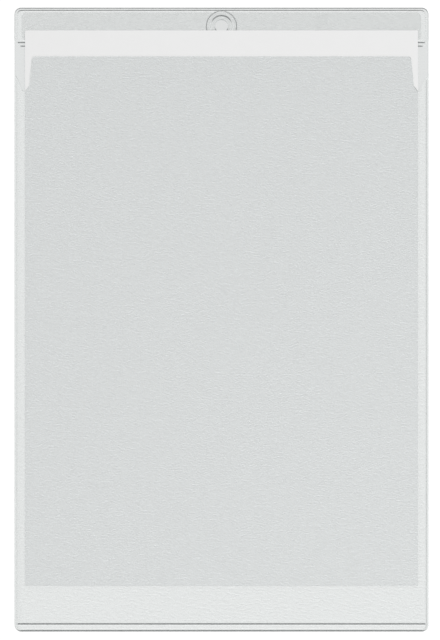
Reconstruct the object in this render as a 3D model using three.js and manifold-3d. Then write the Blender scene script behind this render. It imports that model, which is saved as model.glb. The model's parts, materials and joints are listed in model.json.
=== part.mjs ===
// Clear hanging pocket for one A4 sheet: two films welded at the sides and the foot, and a
// stiffened header with a hanging hole. It lies on its back: +Z is out of the front, +Y is
// towards the header, and the origin is under the middle of the back. Sizes are in millimetres.

import * as THREE from 'three';
import { mergeVertices } from 'three/addons/utils/BufferGeometryUtils.js';
import Module from 'manifold-3d';

// Loose paper sheet
const SHEET_WIDTH = 210;
const SHEET_LENGTH = 297;
const SHEET_THICKNESS = 0.1;
const SHEET_STANDS_OUT = 13.8;
const SHEET_CORNER = 0.4;

// Play round the sheet
const SHEET_SIDE_PLAY = 1.7;
const SHEET_FOOT_PLAY = 17.6;
const SHEET_FACE_PLAY = 0.15;

// Film and strip thicknesses
const BACK_FILM = 0.3;
const FRONT_FILM = 0.3;
const HEADER_FILM = 0.3;
const STIFFENER_THICKNESS = 0.3;

// Welds, as widths of the pressed bands
const SIDE_WELD = 1.5;
const TOP_WELD = 1.4;
const FOOT_WELD = 4.3;
const HEADER_FOOT_WELD = 2.1;

// Pressed lines in the film's front
const LINE_WIDTH = 0.45;
const LINE_DEPTH = 0.12;
const FOOT_LINE_EDGE_GAP = 0.35;
const FOOT_LINE_END_GAP = 3.2;

// Rise of the film beside a weld
const POCKET_SHOULDER = 2.5;
const POCKET_SHOULDER_STEPS = 3;
const HEADER_SHOULDER = 0.5;
const HEADER_SHOULDER_STEPS = 1;

// Corners
const SLEEVE_CORNER = 3.5;
const HEADER_FOOT_CORNER = 3.6;
const STIFFENER_CORNER = 2.5;
const MOUTH_CORNER = 2.4;
const SHOULDER_CORNER = 0.5;
const CHAMBER_CORNER = 2;

// Hanging hole: a punched hole in a welded boss, with a pressed ring round it
const HOLE_RADIUS = 3.35;
const BOSS_WIDTH = 2.1;
const RING_GAP = 2.12;
const RING_TOP_GAP = 0.17;
const RING_FOOT_GAP = 0.34;

// Stiffener's play in the header
const STIFFENER_END_PLAY = 1.9;
const STIFFENER_TOP_PLAY = 0.65;
const STIFFENER_FOOT_PLAY = 0.65;
const STIFFENER_HOLE_PLAY = 0.35;

// Pocket mouth: gap under the header, and the slanted notch at each end
const MOUTH_GAP = 5.3;
const NOTCH_START = 9.4;
const NOTCH_BEND_INSET = 2.2;
const NOTCH_BEND_DROP = 3;
const NOTCH_FLOOR_INSET = 4.9;
const NOTCH_FLOOR_DROP = 10.3;
const NOTCH_HEEL_INSET = 7.75;
const NOTCH_HEEL_DROP = 6.7;
const TONGUE_INSET = 9.34;
const NOTCH_BEND_RADIUS = 4;
const NOTCH_FLOOR_RADIUS = 0.9;
const NOTCH_HEEL_RADIUS = 1.5;

// Steps along round stretches, and how far a cutting body runs past what it cuts
const ARC_STEPS = 10;
const ROUND_STEPS = 64;
const OVERRUN = 2;

// Levels, from the surface that the back lies on
const BACK_TOP = BACK_FILM;
const HEADER_WELD_TOP = BACK_TOP + HEADER_FILM;
const HEADER_TOP = HEADER_WELD_TOP + STIFFENER_THICKNESS;
const SHEET_TOP = HEADER_TOP + SHEET_THICKNESS;
const FRONT_WELD_TOP = BACK_TOP + FRONT_FILM;
const POCKET_RISE = SHEET_TOP + SHEET_FACE_PLAY - BACK_TOP;

// Radii round the hanging hole
const BOSS_RADIUS = HOLE_RADIUS + BOSS_WIDTH;
const RING_RADIUS = BOSS_RADIUS + HEADER_SHOULDER + RING_GAP;
const RING_OUTER = RING_RADIUS + LINE_WIDTH / 2;
const RING_INNER = RING_RADIUS - LINE_WIDTH / 2;

// Distances below the sleeve's top edge
const HOLE_BELOW_TOP = TOP_WELD + RING_TOP_GAP + RING_OUTER;
const HEADER_HEIGHT = HOLE_BELOW_TOP + RING_OUTER + RING_FOOT_GAP + HEADER_FOOT_WELD;
const MOUTH_BELOW_TOP = HEADER_HEIGHT + MOUTH_GAP;
const SHEET_BELOW_TOP = MOUTH_BELOW_TOP - SHEET_STANDS_OUT;

// Whole sleeve
const SIDE_MARGIN = SIDE_WELD + POCKET_SHOULDER + SHEET_SIDE_PLAY;
const FOOT_MARGIN = FOOT_WELD + POCKET_SHOULDER + SHEET_FOOT_PLAY;
const SLEEVE_WIDTH = SHEET_WIDTH + 2 * SIDE_MARGIN;
const SLEEVE_HEIGHT = SHEET_BELOW_TOP + SHEET_LENGTH + FOOT_MARGIN;
const SIDE = SLEEVE_WIDTH / 2;
const TOP = SLEEVE_HEIGHT / 2;
const FOOT = -TOP;
const HOLE_Y = TOP - HOLE_BELOW_TOP;

const wasm = await Module();
wasm.setup();

// Outline through corners [x, y, radius], each corner rounded by an arc of its radius

function tangentPoints(before, corner, after) {
  const centre = new THREE.Vector2(corner[0], corner[1]);
  const back = new THREE.Vector2(before[0], before[1]).sub(centre).normalize();
  const ahead = new THREE.Vector2(after[0], after[1]).sub(centre).normalize();
  const half = Math.acos(THREE.MathUtils.clamp(back.dot(ahead), -1, 1)) / 2;
  const reach = corner[2] / Math.tan(half);
  const middle = back.clone().add(ahead).normalize();
  const hub = centre.clone().addScaledVector(middle, corner[2] / Math.sin(half));
  return {
    hub,
    enter: centre.clone().addScaledVector(back, reach),
    leave: centre.clone().addScaledVector(ahead, reach),
  };
}

function arcPoints(hub, enter, leave) {
  const start = Math.atan2(enter.y - hub.y, enter.x - hub.x);
  const end = Math.atan2(leave.y - hub.y, leave.x - hub.x);
  const turn = Math.atan2(Math.sin(end - start), Math.cos(end - start));
  const radius = enter.distanceTo(hub);
  const points = [];
  for (let step = 0; step <= ARC_STEPS; step += 1) {
    const angle = start + (turn * step) / ARC_STEPS;
    points.push(new THREE.Vector2(hub.x + radius * Math.cos(angle), hub.y + radius * Math.sin(angle)));
  }
  return points;
}

function roundedOutline(corners) {
  const points = [];
  corners.forEach((corner, index) => {
    if (corner[2] <= 0) {
      points.push(new THREE.Vector2(corner[0], corner[1]));
      return;
    }
    const before = corners[(index + corners.length - 1) % corners.length];
    const after = corners[(index + 1) % corners.length];
    const { hub, enter, leave } = tangentPoints(before, corner, after);
    points.push(...arcPoints(hub, enter, leave));
  });
  return new THREE.Shape(points);
}

// Rounded rectangle centred on the sleeve's middle line, from foot to head

function panelOutline(halfWidth, foot, head, footCorner, headCorner) {
  return roundedOutline([
    [-halfWidth, foot, footCorner],
    [halfWidth, foot, footCorner],
    [halfWidth, head, headCorner],
    [-halfWidth, head, headCorner],
  ]);
}

function circlePath(radius, y) {
  return new THREE.Path().absarc(0, y, radius, 0, 2 * Math.PI, true);
}

// Solids

function toSolid(geometry) {
  geometry.deleteAttribute('normal');
  geometry.deleteAttribute('uv');
  const merged = mergeVertices(geometry, 1e-5);
  const vertProperties = new Float32Array(merged.attributes.position.array);
  const triVerts = new Uint32Array(merged.index.array);
  return new wasm.Manifold(new wasm.Mesh({ numProp: 3, vertProperties, triVerts }));
}

function toGeometry(solid) {
  const mesh = solid.getMesh();
  const geometry = new THREE.BufferGeometry();
  geometry.setAttribute('position', new THREE.BufferAttribute(mesh.vertProperties, 3));
  geometry.setIndex(new THREE.BufferAttribute(mesh.triVerts, 1));
  geometry.computeVertexNormals();
  return geometry;
}

function plate(shape, bottom, top) {
  const geometry = new THREE.ExtrudeGeometry(shape, {
    depth: top - bottom,
    bevelEnabled: false,
    curveSegments: ROUND_STEPS / 2,
  });
  geometry.translate(0, 0, bottom);
  return toSolid(geometry);
}

// Low pad: straight below its foot level, then it rises and draws in to its top
function pad(shape, footLevel, rise, run, steps) {
  const geometry = new THREE.ExtrudeGeometry(shape, {
    depth: OVERRUN,
    bevelEnabled: true,
    bevelThickness: rise,
    bevelSize: run,
    bevelOffset: -run,
    bevelSegments: steps,
    curveSegments: ROUND_STEPS / 2,
  });
  geometry.translate(0, 0, footLevel - OVERRUN);
  return toSolid(geometry);
}

// Film of even thickness, welded flat on the back film and raised over a pad-shaped space
function formedFilm({ outline, padShape, thickness, rise, shoulder, steps }) {
  const weldTop = BACK_TOP + thickness;
  const raised = pad(padShape, weldTop, rise, shoulder, steps);
  const space = pad(padShape, BACK_TOP, rise, shoulder, steps);
  const trim = plate(outline, BACK_TOP, weldTop + rise + OVERRUN);
  return plate(outline, BACK_TOP, weldTop).add(raised).subtract(space).intersect(trim);
}

// Pressed line that runs round a panel, just outside it
function lineAround({ halfWidth, foot, head, footCorner, headCorner }, filmTop) {
  const outer = panelOutline(
    halfWidth + LINE_WIDTH,
    foot - LINE_WIDTH,
    head + LINE_WIDTH,
    footCorner + LINE_WIDTH,
    headCorner + LINE_WIDTH,
  );
  outer.holes.push(panelOutline(halfWidth, foot, head, footCorner, headCorner));
  return plate(outer, filmTop - LINE_DEPTH, filmTop + OVERRUN);
}

function straightLine(halfLength, y, filmTop) {
  const halfWidth = LINE_WIDTH / 2;
  const shape = panelOutline(halfLength, y - halfWidth, y + halfWidth, 0, 0);
  return plate(shape, filmTop - LINE_DEPTH, filmTop + OVERRUN);
}

function ringLine(filmTop) {
  const shape = new THREE.Shape().absarc(0, HOLE_Y, RING_OUTER, 0, 2 * Math.PI, false);
  shape.holes.push(circlePath(RING_INNER, HOLE_Y));
  return plate(shape, filmTop - LINE_DEPTH, filmTop + OVERRUN);
}

// Back film: the full outline, with the hanging hole

function sleeveOutline() {
  return panelOutline(SIDE, FOOT, TOP, SLEEVE_CORNER, SLEEVE_CORNER);
}

function backSheet() {
  const shape = sleeveOutline();
  shape.holes.push(circlePath(HOLE_RADIUS, HOLE_Y));
  return plate(shape, 0, BACK_TOP);
}

// Front film: pocket front with a tongue between two notches

function frontOutline() {
  const mouth = TOP - MOUTH_BELOW_TOP;
  const start = mouth - NOTCH_START;
  const notch = [
    [SIDE, start, 0],
    [SIDE - NOTCH_BEND_INSET, start - NOTCH_BEND_DROP, NOTCH_BEND_RADIUS],
    [SIDE - NOTCH_FLOOR_INSET, start - NOTCH_FLOOR_DROP, NOTCH_FLOOR_RADIUS],
    [SIDE - NOTCH_HEEL_INSET, start - NOTCH_HEEL_DROP, NOTCH_HEEL_RADIUS],
    [SIDE - TONGUE_INSET, mouth, MOUTH_CORNER],
  ];
  const mirrored = notch.map(([x, y, radius]) => [-x, y, radius]).reverse();
  const feet = [
    [-SIDE, FOOT, SLEEVE_CORNER],
    [SIDE, FOOT, SLEEVE_CORNER],
  ];
  return roundedOutline([...feet, ...notch, ...mirrored]);
}

function frontSheet() {
  const pocket = {
    halfWidth: SIDE - SIDE_WELD,
    foot: FOOT + FOOT_WELD,
    head: TOP + OVERRUN,
    footCorner: POCKET_SHOULDER + SHOULDER_CORNER,
    headCorner: POCKET_SHOULDER + SHOULDER_CORNER,
  };
  const film = formedFilm({
    outline: frontOutline(),
    padShape: panelOutline(pocket.halfWidth, pocket.foot, pocket.head, pocket.footCorner, pocket.headCorner),
    thickness: FRONT_FILM,
    rise: POCKET_RISE,
    shoulder: POCKET_SHOULDER,
    steps: POCKET_SHOULDER_STEPS,
  });
  const lineY = FOOT + FOOT_LINE_EDGE_GAP + LINE_WIDTH / 2;
  return film
    .subtract(lineAround(pocket, FRONT_WELD_TOP))
    .subtract(straightLine(SIDE - FOOT_LINE_END_GAP, lineY, FRONT_WELD_TOP));
}

// Header film: welded all round and at the boss of the hanging hole, over the stiffener

function headerStrip() {
  const outline = panelOutline(SIDE, TOP - HEADER_HEIGHT, TOP, HEADER_FOOT_CORNER, SLEEVE_CORNER);
  outline.holes.push(circlePath(HOLE_RADIUS, HOLE_Y));
  const chamber = {
    halfWidth: SIDE - SIDE_WELD,
    foot: TOP - HEADER_HEIGHT + HEADER_FOOT_WELD,
    head: TOP - TOP_WELD,
    footCorner: HEADER_SHOULDER + CHAMBER_CORNER,
    headCorner: HEADER_SHOULDER + CHAMBER_CORNER,
  };
  const { halfWidth, foot, head, footCorner, headCorner } = chamber;
  const padShape = panelOutline(halfWidth, foot, head, footCorner, headCorner);
  padShape.holes.push(circlePath(BOSS_RADIUS, HOLE_Y));
  const film = formedFilm({
    outline,
    padShape,
    thickness: HEADER_FILM,
    rise: STIFFENER_THICKNESS,
    shoulder: HEADER_SHOULDER,
    steps: HEADER_SHOULDER_STEPS,
  });
  return film.subtract(lineAround(chamber, HEADER_WELD_TOP)).subtract(ringLine(HEADER_TOP));
}

// Stiffener: flat strip inside the header, with a hole that clears the boss

function headerStiffener() {
  const shape = panelOutline(
    SIDE - SIDE_WELD - HEADER_SHOULDER - STIFFENER_END_PLAY,
    TOP - HEADER_HEIGHT + HEADER_FOOT_WELD + HEADER_SHOULDER + STIFFENER_FOOT_PLAY,
    TOP - TOP_WELD - HEADER_SHOULDER - STIFFENER_TOP_PLAY,
    STIFFENER_CORNER,
    STIFFENER_CORNER,
  );
  shape.holes.push(circlePath(BOSS_RADIUS + HEADER_SHOULDER + STIFFENER_HOLE_PLAY, HOLE_Y));
  return plate(shape, BACK_TOP, BACK_TOP + STIFFENER_THICKNESS);
}

// Paper sheet: lies on the header's face and runs down inside the pocket

function insertSheet() {
  const head = TOP - SHEET_BELOW_TOP;
  const shape = panelOutline(SHEET_WIDTH / 2, head - SHEET_LENGTH, head, SHEET_CORNER, SHEET_CORNER);
  return plate(shape, HEADER_TOP, SHEET_TOP);
}

// Materials

function filmMaterial(color, roughness, opacity) {
  return new THREE.MeshStandardMaterial({
    color,
    roughness,
    metalness: 0,
    transparent: true,
    opacity,
  });
}

const backFilm = filmMaterial(0xe2e5e4, 0.35, 0.4);
const frontFilm = filmMaterial(0xdfe2e1, 0.5, 0.35);
const headerFilm = filmMaterial(0xdde0df, 0.5, 0.35);
const stiffenerPlastic = filmMaterial(0xd2d6d5, 0.55, 0.7);
const paper = new THREE.MeshStandardMaterial({ color: 0xeaeaea, roughness: 0.9, metalness: 0 });

// Assembly

function piece(name, solid, material) {
  const mesh = new THREE.Mesh(toGeometry(solid), material);
  mesh.name = name;
  return mesh;
}

const sleeve = new THREE.Group();
sleeve.add(
  piece('back_sheet', backSheet(), backFilm),
  piece('front_sheet', frontSheet(), frontFilm),
  piece('header_strip', headerStrip(), headerFilm),
  piece('header_stiffener', headerStiffener(), stiffenerPlastic),
  piece('insert_sheet', insertSheet(), paper),
);

export default sleeve;
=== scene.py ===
"""Looks of a clear hanging sleeve with a paper sheet in its pocket.

The sleeve lies on its back: +Z is out of the front and +Y is towards the header.
Lengths are in millimetres, and become metres where a mesh, an object or a bump is made.
"""

import json
import math

import bpy
import numpy as np
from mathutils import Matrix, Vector
from mathutils.geometry import delaunay_2d_cdt
from mathutils.kdtree import KDTree


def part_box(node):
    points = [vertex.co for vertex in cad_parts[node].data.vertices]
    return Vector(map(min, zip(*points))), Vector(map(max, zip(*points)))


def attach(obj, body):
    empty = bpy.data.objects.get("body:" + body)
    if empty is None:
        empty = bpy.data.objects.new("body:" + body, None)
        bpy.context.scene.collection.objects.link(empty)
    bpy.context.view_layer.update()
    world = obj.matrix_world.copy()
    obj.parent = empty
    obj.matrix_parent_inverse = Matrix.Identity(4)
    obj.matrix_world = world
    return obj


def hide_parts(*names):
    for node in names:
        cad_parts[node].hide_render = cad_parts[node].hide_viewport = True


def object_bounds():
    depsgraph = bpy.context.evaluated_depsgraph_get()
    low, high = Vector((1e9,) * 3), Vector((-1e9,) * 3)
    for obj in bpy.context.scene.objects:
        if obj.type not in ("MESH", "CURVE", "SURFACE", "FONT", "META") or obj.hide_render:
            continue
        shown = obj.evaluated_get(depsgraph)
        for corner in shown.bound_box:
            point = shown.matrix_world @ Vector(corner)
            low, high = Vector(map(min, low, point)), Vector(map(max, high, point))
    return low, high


MM = 0.001

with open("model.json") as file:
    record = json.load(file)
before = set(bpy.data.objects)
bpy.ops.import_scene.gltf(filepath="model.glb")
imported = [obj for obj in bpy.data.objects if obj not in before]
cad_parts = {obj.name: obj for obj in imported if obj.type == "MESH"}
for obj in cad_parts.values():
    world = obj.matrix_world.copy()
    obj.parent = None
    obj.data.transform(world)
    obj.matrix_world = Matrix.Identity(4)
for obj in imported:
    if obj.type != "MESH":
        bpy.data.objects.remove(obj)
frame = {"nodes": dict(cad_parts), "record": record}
cad_low, cad_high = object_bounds()


def node_box(node):
    """Lowest and highest corner of a CAD node, in millimetres."""
    low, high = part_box(node)
    return np.array(low) / MM, np.array(high) / MM


def mount_place(name):
    """Place of a mount of the record, in millimetres."""
    for mount in frame["record"]["mounts"]:
        if mount["name"] == name:
            return np.array(mount["pos_m"]) / MM
    raise ValueError(name)


# Sizes from the frame
back_low, back_high = node_box("back_sheet")
front_high = node_box("front_sheet")[1]
header_low, header_high = node_box("header_strip")
paper_low, paper_high = node_box("insert_sheet")
SIDE = back_high[0]
TOP = back_high[1]
FOOT = back_low[1]
BACK_TOP = back_high[2]
HEADER_FOOT = header_low[1]
HEADER_TOP = header_high[2]
MOUTH = front_high[1]
POCKET_TOP = front_high[2]
PAPER_SIDE = paper_high[0]
PAPER_HEAD = paper_high[1]
PAPER_FOOT = paper_low[1]
HOLE_Y = mount_place("header_back")[1]

# Films, welds and corners, as in the solids
FILM = 0.3
SIDE_WELD = 1.5
TOP_WELD = 1.4
FOOT_WELD = 4.3
HEADER_FOOT_WELD = 2.1
POCKET_SHOULDER = 2.5
HEADER_SHOULDER = 0.5
SLEEVE_CORNER = 3.5
HEADER_FOOT_CORNER = 3.6
POCKET_CORNER = 3.0
CHAMBER_CORNER = 2.5
MOUTH_CORNER = 2.4
HOLE_RADIUS = 3.35
BOSS_RADIUS = 5.45
RING_RADIUS = 8.07

# Notch at each end of the mouth: how far in from the side, how far below the mouth, radius
NOTCH = (
    (0.0, 9.4, 0.0),
    (2.2, 12.4, 4.0),
    (4.9, 19.7, 0.9),
    (7.75, 16.1, 1.5),
    (9.34, 0.0, MOUTH_CORNER),
)

# Gap under a film where it lies on another, so that the faces don't coincide
SEAT_GAP = 0.012

# Rounded lip at an edge of a film, and the share of its width and drop at its middle line
LIP_WIDTH = 0.45
LIP_DROP = 0.08
HEADER_LIP_WIDTH = 0.48
BACK_HOLE_LIP_WIDTH = 0.3
BACK_HOLE_LIP_DROP = 0.05
LIP_MIDDLE_WIDTH = 0.6
LIP_MIDDLE_DROP = 0.2

# Pressed lines and the ridges beside them, which carry painted highlights
GROOVE_DEPTH = 0.1
GROOVE_WALL = 0.15
FINE_GROOVE_HALF = 0.17
POCKET_GROOVE_HALF = 0.32
HEADER_GROOVE_HALF = 0.26
RIDGE_HEIGHT = 0.02

# Painted shade on the boss round the hanging hole, as a share of a pressed line's painted shade
BOSS_SHADE = 0.42

# How far a loop runs on past the film that cuts it off
RUN_ON = 10

# Share of a line's strength below which the line is left out
LEAST_SHOWN = 0.01

# Spacing of mesh points
LINE_STEP = 2.0
ARC_STEP = 0.45
LEAST_ARC_STEPS = 4
CIRCLE_STEPS = 96
RING_STEPS = 128
GRID_STEP = 3.0
GRID_CLEARANCE = 1.0
EDGE_CLEARANCE = 0.3
MERGE_DISTANCE = 1e-5
SMOOTH_ANGLE = math.radians(40)

# Stands in for the square of a length that is zero
NO_LENGTH = 1e-12


# Loops

def corner_arc(before, corner, after):
    """Points of the arc that rounds a corner (x, y, radius)."""
    centre = Vector(corner[:2])
    back = (Vector(before[:2]) - centre).normalized()
    ahead = (Vector(after[:2]) - centre).normalized()
    radius = corner[2]
    if radius <= 0:
        return [tuple(centre)]
    half = back.angle(ahead) / 2
    hub = centre + (back + ahead).normalized() * (radius / math.sin(half))
    reach = radius / math.tan(half)
    enter = centre + back * reach - hub
    leave = centre + ahead * reach - hub
    start = math.atan2(enter.y, enter.x)
    turn = math.atan2(leave.y, leave.x) - start
    turn = math.atan2(math.sin(turn), math.cos(turn))
    count = max(LEAST_ARC_STEPS, math.ceil(abs(turn) * radius / ARC_STEP))
    angles = [start + turn * step / count for step in range(count + 1)]
    return [(hub.x + radius * math.cos(a), hub.y + radius * math.sin(a)) for a in angles]


def filled_in(points, closed=True):
    """The same line with points no further apart than LINE_STEP."""
    ends = list(zip(points, points[1:] + points[:1])) if closed else list(zip(points, points[1:]))
    dense = []
    for (x0, y0), (x1, y1) in ends:
        count = max(1, math.ceil(math.hypot(x1 - x0, y1 - y0) / LINE_STEP))
        dense += [(x0 + (x1 - x0) * i / count, y0 + (y1 - y0) * i / count) for i in range(count)]
    return np.array(dense if closed else dense + [points[-1]])


def rounded_loop(corners):
    """Closed loop, anticlockwise, through corners (x, y, radius)."""
    points = []
    for index, corner in enumerate(corners):
        points += corner_arc(corners[index - 1], corner, corners[(index + 1) % len(corners)])
    return filled_in(points)


def panel_loop(half_width, foot, head, foot_corner, head_corner):
    """Rounded rectangle on the sleeve's middle line."""
    return rounded_loop([
        (-half_width, foot, foot_corner),
        (half_width, foot, foot_corner),
        (half_width, head, head_corner),
        (-half_width, head, head_corner),
    ])


def header_loop():
    return panel_loop(SIDE, HEADER_FOOT, TOP, HEADER_FOOT_CORNER, SLEEVE_CORNER)


def circle_loop(radius, count=CIRCLE_STEPS):
    """Circle round the middle of the hanging hole."""
    angles = np.linspace(0, 2 * math.pi, count, endpoint=False)
    return np.column_stack((radius * np.cos(angles), HOLE_Y + radius * np.sin(angles)))


def outward(loop):
    """Outward normal at each point of an anticlockwise closed loop."""
    along = np.roll(loop, -1, axis=0) - np.roll(loop, 1, axis=0)
    along /= np.linalg.norm(along, axis=1)[:, None]
    return np.column_stack((along[:, 1], -along[:, 0]))


def inside(points, loop):
    """Which of the points lie inside a closed loop."""
    x, y = points[:, 0], points[:, 1]
    odd = np.zeros(len(points), bool)
    for (x0, y0), (x1, y1) in zip(loop, np.roll(loop, -1, axis=0)):
        if y0 == y1:
            continue
        crosses = ((y0 > y) != (y1 > y)) & (x < x0 + (y - y0) * (x1 - x0) / (y1 - y0))
        odd ^= crosses
    return odd


def distance_to(points, loop):
    """Distance from each point to the nearest stretch of a closed loop."""
    nearest = np.full(len(points), np.inf)
    for start, end in zip(loop, np.roll(loop, -1, axis=0)):
        along = end - start
        share = np.clip(((points - start) @ along) / max(along @ along, NO_LENGTH), 0, 1)
        gap = np.linalg.norm(points - start - share[:, None] * along, axis=1)
        nearest = np.minimum(nearest, gap)
    return nearest


def from_hole(points):
    """Distance of each point from the middle of the hanging hole."""
    return np.linalg.norm(points - [0, HOLE_Y], axis=1)


def panel_depth(points, half_width, foot, head, corner):
    """How far inside a rounded rectangle each point lies; negative outside it."""
    middle = (foot + head) / 2
    reach = np.array([half_width - corner, (head - foot) / 2 - corner])
    past = np.abs(points - [0, middle]) - reach
    outer = np.linalg.norm(np.maximum(past, 0), axis=1)
    return corner - outer - np.minimum(past.max(axis=1), 0)


def runs_of(keep):
    """Index arrays of the unbroken runs of a closed loop's kept points."""
    start = int(np.argmin(keep))
    order = np.roll(np.arange(len(keep)), -start)
    runs = []
    current = []
    for index in order:
        if keep[index]:
            current.append(index)
        elif current:
            runs.append(np.array(current))
            current = []
    if current:
        runs.append(np.array(current))
    return [run for run in runs if len(run) > 1]


def tree_of(points):
    """Search tree of the points of a plan."""
    tree = KDTree(len(points))
    for index, (x, y) in enumerate(points):
        tree.insert((x, y, 0), index)
    tree.balance()
    return tree


# Film meshes: a flat plan of points, lifted to the film's height and given its thickness.
# A point carries its press (height added), line (painted shade of a pressed line or edge) and
# light (a painted highlight, as on a ridge). A profile lists (offset, press, line, light) for each
# line of points beside a path, and a strength gives the share of line and light by the way that a
# loop faces, as if light fell on each edge from one side.

def everywhere(points):
    return np.full(len(points), True)


class Plan:
    """Points, values and edges of a film seen from the front."""

    def __init__(self, outline, holes=()):
        self.outline = outline
        self.holes = list(holes)
        self.points = []
        self.values = []
        self.edges = []

    def add(self, points, values, closed):
        """Adds a line of points, each with (press, line, light)."""
        first = len(self.points)
        self.points += [tuple(p) for p in points]
        self.values += [tuple(v) for v in values]
        count = len(points)
        self.edges += [(first + i, first + i + 1) for i in range(count - 1)]
        if closed:
            self.edges.append((first + count - 1, first))

    def add_where(self, points, values, wanted):
        """Adds the stretches of a closed loop that are wanted and lie in the film."""
        keep = self.holds(points, EDGE_CLEARANCE) & wanted
        if keep.all():
            self.add(points, values, True)
            return
        for run in runs_of(keep):
            self.add(points[run], values[run], False)

    def rim(self, loop, width, drop, line, inner=None, hole=False):
        """Edge of the film: a rounded lip inside the outline, or round a hole.

        Its painted shade has the strength line along the edge, and inner, or nothing, where the lip
        ends.
        """
        normals = outward(loop)
        strength = line(normals)
        last = inner(normals) if inner else strength * 0
        towards = 1 if hole else -1
        edge = np.column_stack((np.full(len(loop), -drop), strength, strength * 0))
        self.add(loop, edge, True)
        middle = loop + towards * normals * width * LIP_MIDDLE_WIDTH
        self.add(middle, edge * [LIP_MIDDLE_DROP, 1, 1], True)
        self.add(loop + towards * normals * width, np.column_stack((last * 0, last, last * 0)), True)

    def press(self, loop, profile, strength, where=everywhere):
        """Profile pressed along a loop, its offsets outwards, left out where it fades away."""
        normals = outward(loop)
        share = strength(normals)
        for offset, depth, line, light in profile:
            moved = loop + normals * offset
            values = np.column_stack((np.full(len(loop), depth), line * share, light * share))
            self.add_where(moved, values, where(moved) & (share > LEAST_SHOWN))

    def shape(self, loop, where=everywhere):
        """Line of points that only carries the film's height."""
        self.add_where(loop, np.zeros((len(loop), 3)), where(loop))

    def straight(self, start, end, profile):
        """Profile pressed straight from start to end, its offsets to the left of that way."""
        path = filled_in([start, end], closed=False)
        along = (path[1] - path[0]) / np.linalg.norm(path[1] - path[0])
        for offset, *values in profile:
            self.add(path + offset * np.array([-along[1], along[0]]), [values] * len(path), False)

    def across(self, y, half_length, profile):
        """Profile pressed straight across the film, its offsets upwards."""
        self.straight((-half_length, y), (half_length, y), profile)

    def holds(self, points, clearance):
        """Which points lie in the film, clear of its edges."""
        kept = inside(points, self.outline)
        for loop in [self.outline, *self.holes]:
            kept &= distance_to(points, loop) > clearance
        for loop in self.holes:
            kept &= ~inside(points, loop)
        return kept

    def fill(self):
        """Adds the grid of points between the lines."""
        low = self.outline.min(axis=0)
        high = self.outline.max(axis=0)
        counts = np.maximum(2, np.ceil((high - low) / GRID_STEP).astype(int))
        xs = np.linspace(low[0], high[0], counts[0] + 1)
        ys = np.linspace(low[1], high[1], counts[1] + 1)
        grid = np.array([(x, y) for y in ys for x in xs])
        grid = grid[self.holds(grid, GRID_CLEARANCE)]
        tree = tree_of(self.points)
        clear = [tree.find((x, y, 0))[2] > GRID_CLEARANCE for x, y in grid]
        grid = grid[np.array(clear)]
        self.points += [tuple(p) for p in grid]
        self.values += [(0.0, 0.0, 0.0)] * len(grid)

    def triangles(self):
        """Points, values and triangles of the whole plan."""
        self.fill()
        flat = [Vector(p) for p in self.points]
        made, _, faces, sources, _, _ = delaunay_2d_cdt(flat, self.edges, [], 0, MERGE_DISTANCE)
        points = np.array([tuple(p) for p in made])
        tree = tree_of(self.points)
        values = np.array([
            self.values[near[0] if near else tree.find((x, y, 0))[1]]
            for near, (x, y) in zip(sources, points)
        ])
        faces = np.array(faces)
        centres = points[faces].mean(axis=1)
        kept = inside(centres, self.outline)
        for loop in self.holes:
            kept &= ~inside(centres, loop)
        return points, values, faces[kept]


def film_piece(name, node, plan, height, seat_gap=0.0):
    """Closed film mesh over a plan.

    Its underside lies at height(points), raised by the seat gap, and its face lies FILM
    above height(points), raised by what is pressed there.
    """
    points, values, faces = plan.triangles()
    count = len(points)
    under = height(points)
    face = np.column_stack((points, under + FILM + values[:, 0]))
    underside = np.column_stack((points, under + seat_gap))
    vertices = np.vstack((face, underside)) * MM
    flipped = faces[:, ::-1] + count
    sides = dict.fromkeys(side for a, b, c in faces for side in ((a, b), (b, c), (c, a)))
    walls = [(b, a, a + count, b + count) for a, b in sides if (b, a) not in sides]
    mesh = bpy.data.meshes.new(name)
    mesh.from_pydata(vertices.tolist(), [], faces.tolist() + flipped.tolist() + walls)
    mesh.validate()
    for column, mark in ((1, "line"), (2, "light")):
        attribute = mesh.attributes.new(mark, "FLOAT", "POINT")
        attribute.data.foreach_set("value", np.concatenate((values[:, column], np.zeros(count))))
    mesh.polygons.foreach_set("use_smooth", [True] * len(mesh.polygons))
    mesh.set_sharp_from_angle(angle=SMOOTH_ANGLE)
    piece = bpy.data.objects.new(name, mesh)
    bpy.context.scene.collection.objects.link(piece)
    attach(piece, "root")
    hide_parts(node)
    return piece


# Strengths of painted shade and painted highlight, by the way that a loop faces, as light falls on an
# edge from one side: a higher sharpness fades sooner as it turns away

FADE_SHARPNESS = 6
FOOT_ONLY_SHARPNESS = 120


def facing_up(normals, sharpness):
    return np.clip(normals[:, 1], 0, 1) ** sharpness


def facing_down(normals, sharpness):
    return np.clip(-normals[:, 1], 0, 1) ** sharpness


def even(value):
    return lambda normals: np.full(len(normals), float(value))


def faces_up_or_down(across, along, sharpness):
    """Shows at the head and foot of a loop by one share, and at its sides by another."""
    def strength(normals):
        share = np.abs(normals[:, 1]) ** sharpness
        return along + (across - along) * share
    return strength


def all_but_foot(across, along):
    """Shows at the head and the sides of a loop, and fades out at its foot."""
    def strength(normals):
        return across * facing_up(normals, 2) + along * (1 - normals[:, 1] ** FADE_SHARPNESS)
    return strength


def darker_to_the_right(left, right):
    """Shows at the sides of a loop, more at the right one, and fades out at its head and foot."""
    def strength(normals):
        side = np.where(normals[:, 0] > 0, right, left)
        return side * (1 - facing_up(normals, 2)) * (1 - normals[:, 1] ** FADE_SHARPNESS)
    return strength


def arch(top, foot, sharpness):
    """Shows at the top of a round line and at its foot, and fades out at its sides."""
    def strength(normals):
        return top * facing_up(normals, sharpness) + foot * facing_down(normals, sharpness)
    return strength


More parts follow.
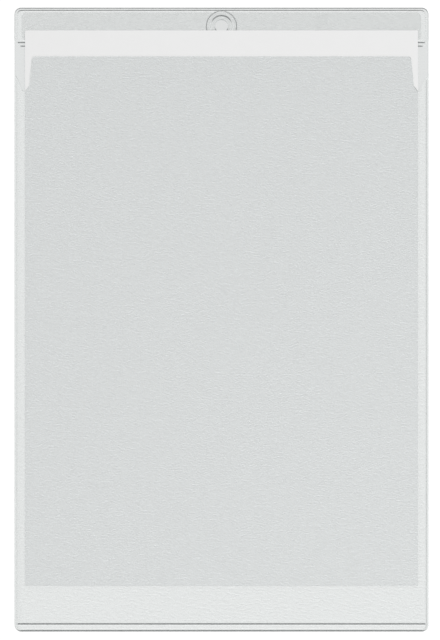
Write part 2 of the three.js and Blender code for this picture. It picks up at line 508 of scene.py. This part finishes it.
def front_rim(normals):
    """Edge of the front film: painted shade, dark along the foot and where it faces up and right, else
    faint.
    """
    side, mouth, foot, up_left, up_right = 0.2, 0.12, 0.86, 0.6, 1.8
    up = facing_up(normals, 2)
    slant = np.where(normals[:, 0] > 0, up_right, up_left) * up * (1 - up)
    return side * (1 - up) + mouth * up + foot * facing_down(normals, 3) + slant


def header_rim(normals):
    """Edge of the header: painted shade, dark along the top, round into its corners, and along its foot.
    """
    side, top, foot, fade, fade_speed = 0.55, 1.1, 1.5, 0.4, 4
    down = facing_down(normals, 1)
    faded = side - fade * np.minimum(fade_speed * down, 1)
    return faded + top * facing_up(normals, 2) + foot * down ** FOOT_ONLY_SHARPNESS


def hole_rim(normals):
    """Edge of the hanging hole: painted shade as dark as the boss round it, and darker at its head and
    foot.
    """
    return np.maximum(arch(top=0.8, foot=2.4, sharpness=0.9)(normals), BOSS_SHADE)


def boss_edge(normals):
    """Step down to the boss: painted shade, dark over its head, and as dark as the boss round the rest.
    """
    return np.maximum(arch(top=1.6, foot=0.0, sharpness=1.0)(normals), BOSS_SHADE)


# Profiles

def groove(half_width):
    """Pressed line with sloping walls, and painted shade along its floor."""
    outer = half_width + GROOVE_WALL
    return (
        (-outer, 0.0, 0.0, 0.0),
        (-half_width, -GROOVE_DEPTH, 1.0, 0.0),
        (half_width, -GROOVE_DEPTH, 1.0, 0.0),
        (outer, 0.0, 0.0, 0.0),
    )


def ridge(middle, half_width, light):
    """Raised ridge with a painted highlight, as beside a pressed line."""
    return (
        (middle - half_width, 0.0, 0.0, 0.0),
        (middle, RIDGE_HEIGHT, 0.0, light),
        (middle + half_width, 0.0, 0.0, 0.0),
    )


def shade(*stops):
    """Painted shade with no press, as (offset, line) stops."""
    return tuple((offset, 0.0, line, 0.0) for offset, line in stops)


FINE_GROOVE = groove(FINE_GROOVE_HALF)

# Painted shades: a painted shadow on the back film at the header's foot, and painted shade just
# above the front film's foot, on the step down to the boss, and on the boss itself
UNDER_HEADER = shade((-0.1, 0.0), (0.0, 1.0), (0.2, 0.7), (0.4, 0.0))
FOOT_EDGE_SHADE = shade((0.74, 1.0), (0.94, 0.0))
BOSS_STEP = shade((-0.46, 0.0), (-0.28, 0.9), (0.0, 1.0), (0.28, 0.9), (0.46, 0.0))
BOSS_BAND = shade((-0.5, BOSS_SHADE), (0.55, BOSS_SHADE))


# Back film

# Painted highlight outside the paper's sides: how far below the paper it starts, how far below the
# header it ends, and how far out it lies
BESIDE_PAPER_FOOT = 0.5
BESIDE_PAPER_HEAD = 1.5
BESIDE_PAPER_OUT = 0.3


def back_sheet():
    """Flat film with a painted shadow at the header's foot and a painted highlight beside the paper."""
    outline = panel_loop(SIDE, FOOT, TOP, SLEEVE_CORNER, SLEEVE_CORNER)
    hole = circle_loop(HOLE_RADIUS)
    plan = Plan(outline, [hole])
    plan.rim(outline, LIP_WIDTH, LIP_DROP, faces_up_or_down(across=0.6, along=0.5, sharpness=4))
    plan.rim(hole, BACK_HOLE_LIP_WIDTH, BACK_HOLE_LIP_DROP, even(0.1), hole=True)
    along_foot = faces_up_or_down(across=1.0, along=0.0, sharpness=FOOT_ONLY_SHARPNESS)
    plan.press(header_loop(), UNDER_HEADER, along_foot)
    for side in (-1, 1):
        start = (side * PAPER_SIDE, PAPER_FOOT - BESIDE_PAPER_FOOT)
        end = (side * PAPER_SIDE, HEADER_FOOT - BESIDE_PAPER_HEAD)
        plan.straight(start, end, ridge(-side * BESIDE_PAPER_OUT, half_width=0.5, light=0.5))
    return film_piece("back_film", "back_sheet", plan, lambda points: np.zeros(len(points)))


# Front film

# Line pressed outside the pocket's sides, and how far above the sleeve's foot it turns
SIDE_LINE_OUT = 0.3
SIDE_LINE_FOOT = 1.2

# Line pressed along the pocket's foot: how far below it, and how far its ends stay in
POCKET_LINE_DROP = 0.22
POCKET_LINE_END = 0.2

# Ridges in the foot weld: how far below the pocket, and how strong their painted highlights are
FOOT_RIDGES = ((1.05, 1.0), (1.9, 0.5), (2.75, 1.0))
FOOT_RIDGE_HALF = 0.4
FOOT_RIDGE_END = 0.8

# Lines of points over the pocket's shoulder: how far inside the pocket
SHOULDER_LINES = (0.55, 1.1, 1.8, 2.6)

# Waves of the front film: their height, how far in they reach it, and their steps and starts
WAVE_HEIGHT = 0.06
WAVE_RUN = 15
WAVE_STEPS = (31, 47, 29)
WAVE_STARTS = (0.8, 0.3, 2.1)
WAVE_SLANT = 1.4
WIDE_SHARE = 0.65
SLANT_SHARE = 0.35


def slow_wave(points):
    """Faint waves of a film that doesn't lie quite flat."""
    x, y = points[:, 0], points[:, 1]
    wide = np.sin(x / WAVE_STEPS[0] + WAVE_STARTS[0]) * np.cos(y / WAVE_STEPS[1] + WAVE_STARTS[1])
    slant = np.sin((x + WAVE_SLANT * y) / WAVE_STEPS[2] + WAVE_STARTS[2])
    return WAVE_HEIGHT * (WIDE_SHARE * wide + SLANT_SHARE * slant)


def front_outline():
    """Outline of the front film, with the notches at the ends of its mouth."""
    notch = [(SIDE - inset, MOUTH - drop, radius) for inset, drop, radius in NOTCH]
    mirrored = [(-x, y, radius) for x, y, radius in reversed(notch)]
    feet = [(-SIDE, FOOT, SLEEVE_CORNER), (SIDE, FOOT, SLEEVE_CORNER)]
    return rounded_loop([*feet, *notch, *mirrored])


def front_sheet():
    """Film that rises over a rounded shoulder from the welds to the pocket's front."""
    plan = Plan(front_outline())
    foot_only = arch(top=0.0, foot=1.0, sharpness=1.6)
    plan.rim(plan.outline, LIP_WIDTH, LIP_DROP, front_rim, inner=foot_only)
    half = SIDE - SIDE_WELD
    foot = FOOT + FOOT_WELD
    head = TOP + RUN_ON
    pocket = panel_loop(half, foot, head, POCKET_CORNER, POCKET_CORNER)
    line_half = half + SIDE_LINE_OUT
    line_corner = SLEEVE_CORNER - SIDE_LINE_FOOT
    side_line = panel_loop(line_half, FOOT + SIDE_LINE_FOOT, head, line_corner, POCKET_CORNER)
    plan.press(side_line, FINE_GROOVE, darker_to_the_right(left=0.4, right=0.64))
    plan.across(foot - POCKET_LINE_DROP, half - POCKET_LINE_END, groove(POCKET_GROOVE_HALF))
    for drop, light in FOOT_RIDGES:
        plan.across(foot - drop, half - FOOT_RIDGE_END, ridge(0.0, FOOT_RIDGE_HALF, light))
    for depth in SHOULDER_LINES:
        plan.shape(pocket - outward(pocket) * depth)
    plan.across(FOOT, SIDE - SLEEVE_CORNER, FOOT_EDGE_SHADE)
    rise = POCKET_TOP - FILM - BACK_TOP

    def height(points):
        depth = panel_depth(points, half, foot, head, POCKET_CORNER)
        share = np.clip(depth / POCKET_SHOULDER, 0, 1)
        waves = slow_wave(points) * np.clip((depth - POCKET_SHOULDER) / WAVE_RUN, 0, 1)
        return BACK_TOP + rise * np.sin(share * math.pi / 2) + waves

    return film_piece("front_film", "front_sheet", plan, height, SEAT_GAP)


# Header film

# Line pressed round the chamber: how far outside it, and how far to the left it sits
CHAMBER_LINE_OUT = 0.04
CHAMBER_LINE_LEFT = 0.2
# Strengths of the painted shade along that line and of the painted highlight over the chamber
SHADE_ROUND_CHAMBER = all_but_foot(across=1.1, along=0.3)
HIGHLIGHT_OVER_CHAMBER = all_but_foot(across=1.0, along=0.0)

# Lines of points over the chamber's shoulder: how far inside it, and how far above its foot
# they end
CHAMBER_LINES = (0.25, HEADER_SHOULDER)
CHAMBER_LINES_END = 0.45

# Line pressed along the chamber's foot: how far below it, and how far in it ends at the left
# and the right; then the ends of the ridge above it, which carries a painted highlight
HEADER_LINE_DROP = 0.04
HEADER_LINE_LEFT_END = 0.35
HEADER_LINE_RIGHT_END = 0.6
HEADER_RIDGE_END = 1

# Middle of the boss's painted shade, the strength of the ring's painted shade, how far from the
# ring other lines stop, and how far below the chamber's head the ring's outer line stops
BOSS_BAND_RADIUS = 4.5
RING_STRENGTH = 0.9
RING_CLEARANCE = 0.48
RING_HEAD_CLEARANCE = 0.35

# Painted highlight above the paper's head end: how far above, how far from the ring it starts,
# and how far from the paper's side it ends
ABOVE_PAPER = 0.25
ABOVE_PAPER_START = 0.9
ABOVE_PAPER_END = 0.5


def clear_of_ring(points):
    return from_hole(points) > RING_RADIUS + RING_CLEARANCE


def header_strip():
    """Film raised over the stiffener, with a boss and a pressed ring round the hanging hole."""
    outline = header_loop()
    hole = circle_loop(HOLE_RADIUS)
    plan = Plan(outline, [hole])
    plan.rim(outline, HEADER_LIP_WIDTH, LIP_DROP, header_rim)
    plan.rim(hole, LIP_WIDTH, LIP_DROP, hole_rim, inner=even(BOSS_SHADE), hole=True)
    half = SIDE - SIDE_WELD
    foot = HEADER_FOOT + HEADER_FOOT_WELD
    head = TOP - TOP_WELD
    chamber = panel_loop(half, foot, head, CHAMBER_CORNER, CHAMBER_CORNER)
    past_foot = panel_loop(half, foot - RUN_ON, head, CHAMBER_CORNER, CHAMBER_CORNER)
    line = past_foot + outward(past_foot) * CHAMBER_LINE_OUT - [CHAMBER_LINE_LEFT, 0]

    def above_foot(points):
        return points[:, 1] > foot + CHAMBER_LINES_END

    def below_head(points):
        return points[:, 1] < head - RING_HEAD_CLEARANCE

    plan.press(line, FINE_GROOVE[:1], SHADE_ROUND_CHAMBER, clear_of_ring)
    plan.press(line, FINE_GROOVE[1:], SHADE_ROUND_CHAMBER)
    bright = ridge(middle=-0.5, half_width=0.2, light=2.2)
    plan.press(past_foot, bright, HIGHLIGHT_OVER_CHAMBER, clear_of_ring)
    for depth in CHAMBER_LINES:
        plan.shape(chamber - outward(chamber) * depth, above_foot)
    foot_line = foot - HEADER_LINE_DROP
    start = (HEADER_LINE_LEFT_END - half, foot_line)
    plan.straight(start, (half - HEADER_LINE_RIGHT_END, foot_line), groove(HEADER_GROOVE_HALF))
    plan.across(foot, half - HEADER_RIDGE_END, ridge(middle=0.9, half_width=0.35, light=0.9))
    plan.press(circle_loop(BOSS_BAND_RADIUS), BOSS_BAND, even(1))
    plan.press(circle_loop(BOSS_RADIUS + HEADER_SHOULDER / 2), BOSS_STEP, boss_edge)
    ring = circle_loop(RING_RADIUS, RING_STEPS)
    plan.press(ring, FINE_GROOVE[:3], even(RING_STRENGTH))
    plan.press(ring, FINE_GROOVE[3:], even(RING_STRENGTH), below_head)
    for side in (-1, 1):
        start = (side * (RING_RADIUS + ABOVE_PAPER_START), PAPER_HEAD)
        end = (side * (PAPER_SIDE - ABOVE_PAPER_END), PAPER_HEAD)
        plan.straight(start, end, ridge(side * ABOVE_PAPER, half_width=0.45, light=0.5))
    rise = HEADER_TOP - FILM - BACK_TOP

    def height(points):
        depth = panel_depth(points, half, foot, head, CHAMBER_CORNER)
        past_boss = from_hole(points) - BOSS_RADIUS
        share = np.clip(np.minimum(depth, past_boss) / HEADER_SHOULDER, 0, 1)
        return BACK_TOP + rise * share * share * (3 - 2 * share)

    return film_piece("header_film", "header_strip", plan, height, SEAT_GAP)


# Shading: expressions on values add Math nodes, and Shading.node makes every other node

class Value:
    """Output of a node; an expression on such values adds its Math nodes."""

    def __init__(self, shading, socket):
        self.shading = shading
        self.socket = socket

    def combine(self, operation, *inputs):
        return self.shading.add("ShaderNodeMath", {"operation": operation}, dict(enumerate(inputs)))

    def __add__(self, other):
        return self.combine("ADD", self, other)

    def __radd__(self, other):
        return self.combine("ADD", other, self)

    def __sub__(self, other):
        return self.combine("SUBTRACT", self, other)

    def __rsub__(self, other):
        return self.combine("SUBTRACT", other, self)

    def __mul__(self, other):
        return self.combine("MULTIPLY", self, other)

    def __rmul__(self, other):
        return self.combine("MULTIPLY", other, self)

    def __abs__(self):
        return self.combine("ABSOLUTE", self)

    def root(self):
        return self.combine("SQRT", self)

    def at_least(self, other):
        return self.combine("MAXIMUM", self, other)

    def at_most(self, other):
        return self.combine("MINIMUM", self, other)

    def ramp(self, low, high):
        """0 below low, 1 above high and smooth between them."""
        sockets = {"Value": self, "From Min": low, "From Max": high, "To Min": 0.0, "To Max": 1.0}
        return self.shading.add("ShaderNodeMapRange", {"interpolation_type": "SMOOTHSTEP"}, sockets)


def opaque(colour):
    return (*colour, 1.0)


def grey(level):
    return (level, level, level)


class Shading:
    """Nodes of a material or of the world."""

    def __init__(self, owner):
        self.owner = owner
        owner.use_nodes = True
        self.tree = owner.node_tree
        self.tree.nodes.clear()

    def node(self, kind, settings=None, sockets=None):
        """Makes a node: its settings first, then the values or links of its sockets."""
        node = self.tree.nodes.new(kind)
        for key, setting in (settings or {}).items():
            setattr(node, key, setting)
        for key, value in (sockets or {}).items():
            target = node.inputs[key]
            if isinstance(value, Value):
                self.tree.links.new(value.socket, target)
            else:
                target.default_value = value
        return node

    def add(self, kind, settings=None, sockets=None, output=0):
        """Makes a node and gives one of its outputs."""
        return Value(self, self.node(kind, settings, sockets).outputs[output])

    def place(self, stretch=(1.0, 1.0, 1.0)):
        """Place on the object in millimetres, stretched."""
        at = self.add("ShaderNodeTexCoord", output="Object")
        scale = tuple(share / MM for share in stretch)
        return self.add("ShaderNodeVectorMath", {"operation": "MULTIPLY"}, {0: at, 1: scale})

    def moved(self, place, offset):
        """The same place, moved by an offset in millimetres."""
        return self.add("ShaderNodeVectorMath", {"operation": "ADD"}, {0: place, 1: offset})

    def across_and_up(self):
        """X and Y of the place on the object, in millimetres."""
        split = self.node("ShaderNodeSeparateXYZ", None, {0: self.place()})
        return Value(self, split.outputs["X"]), Value(self, split.outputs["Y"])

    def noise(self, place, size, detail, distortion=0.0):
        """Soft spots of about that size in millimetres."""
        sockets = {"Vector": place, "Scale": 1 / size, "Detail": detail, "Distortion": distortion}
        return self.add("ShaderNodeTexNoise", None, sockets)

    def mix(self, share, first, second):
        """Mixes two colours, by the colour sockets of the Mix node."""
        colours = [opaque(c) if isinstance(c, tuple) else c for c in (first, second)]
        sockets = {0: share, 6: colours[0], 7: colours[1]}
        return self.add("ShaderNodeMix", {"data_type": "RGBA"}, sockets, output=2)

    def attribute(self, name):
        return self.add("ShaderNodeAttribute", {"attribute_name": name}, output="Fac")

    def bump(self, height, distance, strength=1.0):
        """Relief of that distance in millimetres."""
        sockets = {"Strength": strength, "Distance": distance * MM, "Height": height}
        return self.add("ShaderNodeBump", None, sockets)

    def finish(self, sockets):
        """The material, with these sockets of a Principled surface."""
        return self.surface(self.add("ShaderNodeBsdfPrincipled", None, sockets))

    def surface(self, shader, output="ShaderNodeOutputMaterial"):
        """The material or world, with this shader as its surface."""
        self.node(output, None, {"Surface": shader})
        return self.owner


def material_shading(name):
    return Shading(bpy.data.materials.new(name))


# Materials

# Embossed grain of the films, the offset at which the painted shade on one side of each grain is
# looked up, and how much of that and of a finer mottle shows in the haze
GRAIN_SIZE = 1.5
GRAIN_STRETCH = (0.75, 1.3, 1.0)
GRAIN_RAMP = (0.46, 0.66)
SHADED_SIDE = (0.12, 0.62, 0.0)
GRAIN_HAZE = 0.35
FINE_STRETCH = (0.7, 1.25, 1.0)
FINE_HAZE = 0.4
FINE_ROUGHNESS = 0.3
CLOUD_SIZE = 55.0
CLOUD_HAZE = 0.02
VINYL_IOR = 1.53

# Painted shade of pressed lines and edges, and painted highlight of ridges, in the films
LINE_SHADE_COLOUR = (0.12, 0.13, 0.13)
LINE_SHADE_COVER = 0.8
HIGHLIGHT_COLOUR = (0.98, 0.99, 0.99)
HIGHLIGHT_COVER = 0.4


def embossed(shading, place):
    """Raised grain: 1 on a grain and 0 between them."""
    return shading.noise(place, GRAIN_SIZE, detail=1.5, distortion=0.9).ramp(*GRAIN_RAMP)


def film_material(name, haze, colour, grain, bump, roughness):
    """Clear film: a thin haze, a fine embossed grain with painted shade on one side, painted shade on
    pressed lines and painted highlights on ridges.
    """
    shading = material_shading(name)
    fine = shading.noise(shading.place(FINE_STRETCH), GRAIN_SIZE, detail=2.5, distortion=1.0) - 0.5
    place = shading.place(GRAIN_STRETCH)
    raised = embossed(shading, place)
    beside = embossed(shading, shading.moved(place, SHADED_SIDE))
    cloud = shading.noise(shading.place(), CLOUD_SIZE, detail=1.0) - 0.5
    # Painted shade of pressed lines and edges, and painted highlight of ridges, from the mesh
    line = shading.attribute("line").at_most(1.0)
    light = shading.attribute("light")
    # A finer mottle, and painted shade on one side of each raised grain
    grain_and_side_shade = (fine * FINE_HAZE + (raised - beside) * GRAIN_HAZE) * grain * (1 - line)
    base = haze + grain_and_side_shade + cloud * CLOUD_HAZE
    cover = base + line * (LINE_SHADE_COVER - haze) + light * HIGHLIGHT_COVER
    tint = shading.mix(line, colour, LINE_SHADE_COLOUR)
    return shading.finish({
        "Base Color": shading.mix(light, tint, HIGHLIGHT_COLOUR),
        "Roughness": fine * FINE_ROUGHNESS + roughness,
        "Alpha": cover.at_least(0.0).at_most(1.0),
        "Normal": shading.bump(raised * (1 - line), bump),
        "IOR": VINYL_IOR,
    })


# Stiffener: its two tones, its clouds, how much it covers and how rough it is
STIFFENER_DARK = (0.58, 0.602, 0.598)
STIFFENER_LIGHT = (0.62, 0.642, 0.638)
STIFFENER_CLOUD_SIZE = 3.0
STIFFENER_CLOUD_STRETCH = (0.5, 1.0, 1.0)
STIFFENER_COVER = 0.21
STIFFENER_ROUGHNESS = 0.4
STIFFENER_IOR = 1.5


def stiffener_material():
    """Slightly grey clear plastic, a little clouded."""
    shading = material_shading("stiffener_plastic")
    cloud = shading.noise(shading.place(STIFFENER_CLOUD_STRETCH), STIFFENER_CLOUD_SIZE, detail=3.0)
    return shading.finish({
        "Base Color": shading.mix(cloud, STIFFENER_DARK, STIFFENER_LIGHT),
        "Roughness": STIFFENER_ROUGHNESS + cloud * 0.2,
        "Alpha": STIFFENER_COVER + cloud * 0.02,
        "IOR": STIFFENER_IOR,
    })


# Paper: its two tones where it is bare, and its two tones with the film's painted shadow where
# the film lies on it, how softly the film's edge shows on it, and its fibres and clouds
BARE_PAPER = (grey(0.785), grey(0.8))
PAPER_IN_FILM_SHADOW = ((0.613, 0.625, 0.628), (0.625, 0.637, 0.64))
FILM_EDGE = (-0.1, 0.4)
FIBRE_SIZE = 0.35
FIBRE_STRETCH = (1.0, 0.55, 1.0)
FIBRE_BUMP = 0.02
PAPER_CLOUD_SIZE = 9.0
PAPER_ROUGHNESS = 0.86
PAPER_SPECULAR = 0.2


def under_film(shading):
    """1 where the front film lies on the paper and casts its painted shadow, 0 above its mouth and in
    the notches.

    Between the notches the film is a tongue with slanted sides and rounded corners.
    """
    x, y = shading.across_and_up()
    across = abs(x)
    below_mouth = MOUTH - y
    floor, heel, corner = NOTCH[2:]
    tongue_lean = (corner[0] - heel[0]) / (heel[1] - corner[1])
    floor_lean = (floor[1] - heel[1]) / (heel[0] - floor[0])
    in_tongue = SIDE - corner[0] - across + below_mouth * tongue_lean
    below_floor = below_mouth - heel[1] - (across - (SIDE - heel[0])) * floor_lean
    from_mouth = (MOUTH_CORNER - below_mouth).at_least(0.0)
    from_side = (MOUTH_CORNER - in_tongue).at_least(0.0)
    tongue = MOUTH_CORNER - (from_mouth * from_mouth + from_side * from_side).root()
    return tongue.at_least(below_floor).at_most(below_mouth).ramp(*FILM_EDGE)


def paper_material():
    """White paper, with the film's painted shadow where the film lies on it."""
    shading = material_shading("sheet_paper")
    fibre = shading.noise(shading.place(FIBRE_STRETCH), FIBRE_SIZE, detail=4.0, distortion=0.4)
    cloud = shading.noise(shading.place(), PAPER_CLOUD_SIZE, detail=3.0)
    mottle = (fibre * 0.5 + cloud * 0.5).ramp(0.2, 0.8)
    bare = shading.mix(mottle, *BARE_PAPER)
    covered = shading.mix(mottle, *PAPER_IN_FILM_SHADOW)
    return shading.finish({
        "Base Color": shading.mix(under_film(shading), bare, covered),
        "Roughness": PAPER_ROUGHNESS + fibre * 0.1,
        "Normal": shading.bump(fibre, FIBRE_BUMP, strength=0.25),
        "Specular IOR Level": PAPER_SPECULAR,
    })


def dress(piece, material):
    """Gives a piece its material."""
    piece.data.materials.clear()
    piece.data.materials.append(material)


def dress_node(node, material):
    """Gives a CAD node a better material."""
    for place in frame["nodes"][node].material_slots:
        place.material = material


# Stage: the camera sees the floor by the lamps' light on it and by its own glow, bare or with a
# painted shade where the sleeve covers it, and its bounce lights the sleeve. Lamps are placed in metres.

FLOOR_GAP = 0.1
FLOOR_HALF = 3000.0
FLOOR_LIT = grey(0.4)
FLOOR_GLOW = grey(0.66)
# Lamp light and glow of the floor's painted shade under the sleeve
SHADED_FLOOR_LIT = (0.04, 0.041, 0.041)
SHADED_FLOOR_GLOW = (0.686, 0.698, 0.696)
FLOOR_BOUNCE = grey(0.75)
SLEEVE_EDGE = (-0.2, 0.1)
LAMP_SIZE = 1.1
WORLD_LIGHT = 0.68


def under_sleeve(shading):
    """1 on the floor under the sleeve, where its painted shade lies, and 0 beyond its rounded outline.
    """
    x, y = shading.across_and_up()
    middle = (TOP + FOOT) / 2
    past_x = abs(x) - (SIDE - SLEEVE_CORNER)
    past_y = abs(y - middle) - (TOP - middle - SLEEVE_CORNER)
    outer_x = past_x.at_least(0.0)
    outer_y = past_y.at_least(0.0)
    outer = (outer_x * outer_x + outer_y * outer_y).root()
    beyond = outer + past_x.at_least(past_y).at_most(0.0) - SLEEVE_CORNER
    return 1 - beyond.ramp(*SLEEVE_EDGE)


def floor_material():
    """White floor, with a pale grey painted shade where the sleeve lies on it; it also takes the real
    shadow.
    """
    shading = material_shading("floor_with_painted_shade")
    covered = under_sleeve(shading)
    rays = shading.node("ShaderNodeLightPath")
    seen = Value(shading, rays.outputs["Is Camera Ray"])
    for name in ("Is Glossy Ray", "Is Transmission Ray"):
        seen = seen.at_least(Value(shading, rays.outputs[name]))
    lit_colour = shading.mix(covered, FLOOR_LIT, SHADED_FLOOR_LIT)
    glow_colour = shading.mix(covered, FLOOR_GLOW, SHADED_FLOOR_GLOW)
    lit = shading.add("ShaderNodeBsdfDiffuse", None, {"Color": lit_colour})
    glow = shading.add("ShaderNodeEmission", None, {"Color": glow_colour})
    shown = shading.add("ShaderNodeAddShader", None, {0: lit, 1: glow})
    bounce = shading.add("ShaderNodeBsdfDiffuse", None, {"Color": opaque(FLOOR_BOUNCE)})
    return shading.surface(shading.add("ShaderNodeMixShader", None, {0: seen, 1: bounce, 2: shown}))


def make_floor():
    mesh = bpy.data.meshes.new("floor")
    half = FLOOR_HALF * MM
    low = cad_low.z - FLOOR_GAP * MM
    corners = [(-half, -half, low), (half, -half, low), (half, half, low), (-half, half, low)]
    mesh.from_pydata(corners, [], [(0, 1, 2, 3)])
    floor = bpy.data.objects.new("floor", mesh)
    bpy.context.scene.collection.objects.link(floor)
    mesh.materials.append(floor_material())


def make_lamp(name, place, power):
    """Square lamp that faces the sleeve's middle."""
    data = bpy.data.lights.new(name, "AREA")
    data.shape = "SQUARE"
    data.size = LAMP_SIZE
    data.energy = power
    lamp = bpy.data.objects.new(name, data)
    lamp.location = place
    lamp.rotation_euler = (-Vector(place)).to_track_quat("-Z", "Y").to_euler()
    bpy.context.scene.collection.objects.link(lamp)


def make_world():
    """Even white light, which the camera sees as plain white."""
    shading = Shading(bpy.data.worlds.new("studio"))
    seen = shading.add("ShaderNodeLightPath", output="Is Camera Ray")
    strength = seen * (1 - WORLD_LIGHT) + WORLD_LIGHT
    light = shading.add("ShaderNodeBackground", None, {"Color": opaque(grey(1.0)), "Strength": strength})
    bpy.context.scene.world = shading.surface(light, "ShaderNodeOutputWorld")


# Camera: looks straight down. The picture is 440 by 640 pixels, and in it the sleeve is
# SLEEVE_PIXELS long and has its middle at MIDDLE_PIXEL. What it sees starts and ends at
# NEAREST and FURTHEST, in metres.

PICTURE_PIXELS = (440, 640)
SLEEVE_PIXELS = 623.85
MIDDLE_PIXEL = (221.5, 319.68)
LENS = 135.0
SENSOR = 36.0
NEAREST = 0.01
FURTHEST = 20.0


def make_camera():
    data = bpy.data.cameras.new("camera")
    data.lens = LENS
    data.sensor_width = SENSOR
    data.sensor_fit = "AUTO"
    data.clip_start = NEAREST
    data.clip_end = FURTHEST
    camera = bpy.data.objects.new("camera", data)
    pixel = (TOP - FOOT) / SLEEVE_PIXELS
    distance = PICTURE_PIXELS[1] * pixel * LENS / SENSOR
    aside = (PICTURE_PIXELS[0] / 2 - MIDDLE_PIXEL[0]) * pixel
    ahead = (MIDDLE_PIXEL[1] - PICTURE_PIXELS[1] / 2) * pixel
    camera.location = (aside * MM, ahead * MM, (distance + HEADER_TOP) * MM)
    bpy.context.scene.collection.objects.link(camera)
    bpy.context.scene.camera = camera


# Making the scene

make_camera()
make_world()
make_lamp("key_lamp", place=(0.9, -1.1, 1.4), power=17.1)
make_lamp("fill_lamp", place=(-0.5, 0.5, 1.7), power=4.6)
make_floor()

back_vinyl = film_material(
    "back_vinyl", haze=0.05, colour=(0.90, 0.93, 0.92), grain=0.08, bump=0.01, roughness=0.25)
front_vinyl = film_material(
    "front_vinyl", haze=0.105, colour=(0.93, 0.96, 0.95), grain=0.37, bump=0.06, roughness=0.4)
header_vinyl = film_material(
    "header_vinyl", haze=0.12, colour=(0.92, 0.95, 0.94), grain=0.25, bump=0.06, roughness=0.4)
dress(back_sheet(), back_vinyl)
dress(front_sheet(), front_vinyl)
dress(header_strip(), header_vinyl)
dress_node("header_stiffener", stiffener_material())
dress_node("insert_sheet", paper_material())

bpy.context.scene.view_settings.view_transform = "Standard"
